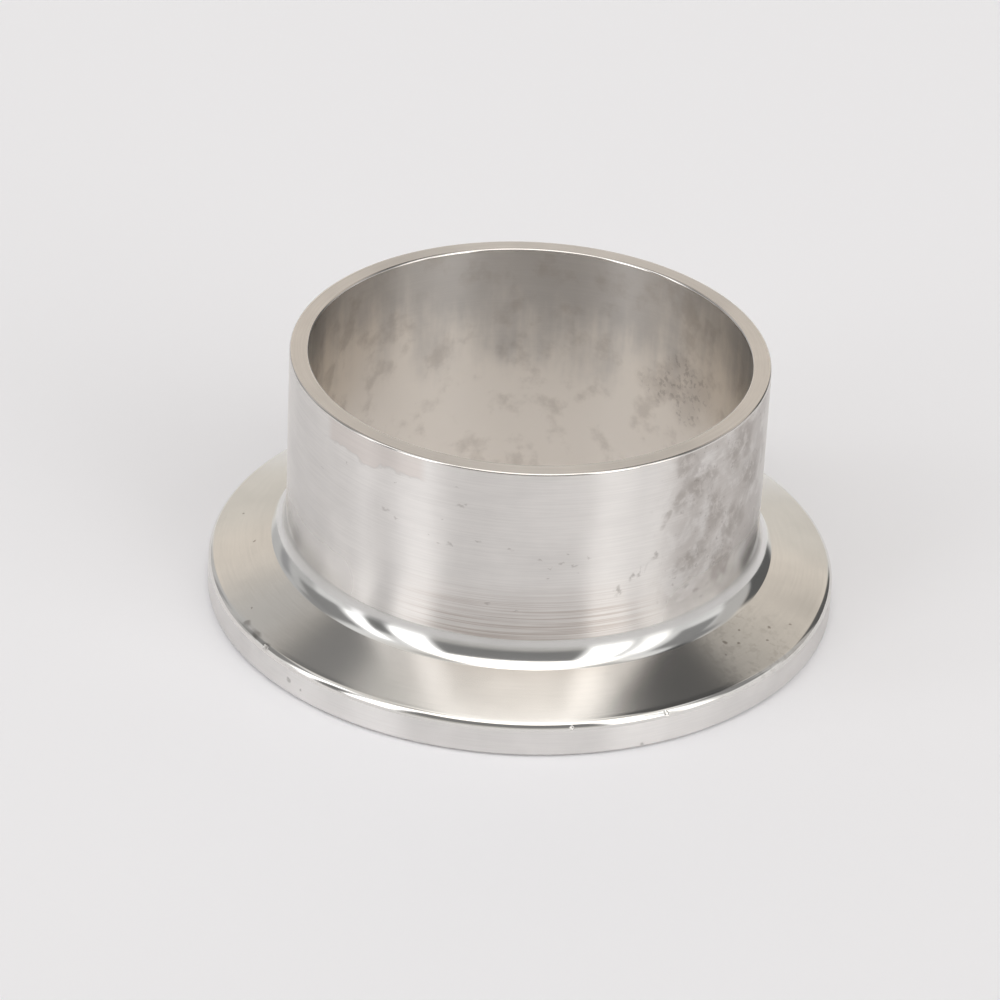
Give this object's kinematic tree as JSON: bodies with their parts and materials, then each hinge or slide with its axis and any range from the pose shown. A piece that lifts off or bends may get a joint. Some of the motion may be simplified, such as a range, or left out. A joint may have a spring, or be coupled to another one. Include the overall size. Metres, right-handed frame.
{
  "type": "sanitary clamp ferrule",
  "caption": "Short turned stainless steel tube end with a clamp flange: 20 degree back cone, rounded neck and a gasket groove in the flat clamp face.",
  "frame": {"origin": "centre of the flat clamp face, on the bore's axis", "axes": "+Z along the bore axis, from the clamp face to the weld end; X and Y are free, because the part is round"},
  "size_m": [0.0506, 0.0504, 0.0215],
  "materials": {
    "stainless_steel": "turned and lightly polished stainless steel, with fine lines round the axis, a satin bore and worn patches"
  },
  "bodies": {
    "root": {"clamp_ferrule": "stainless_steel"}
  },
  "joints": []
}
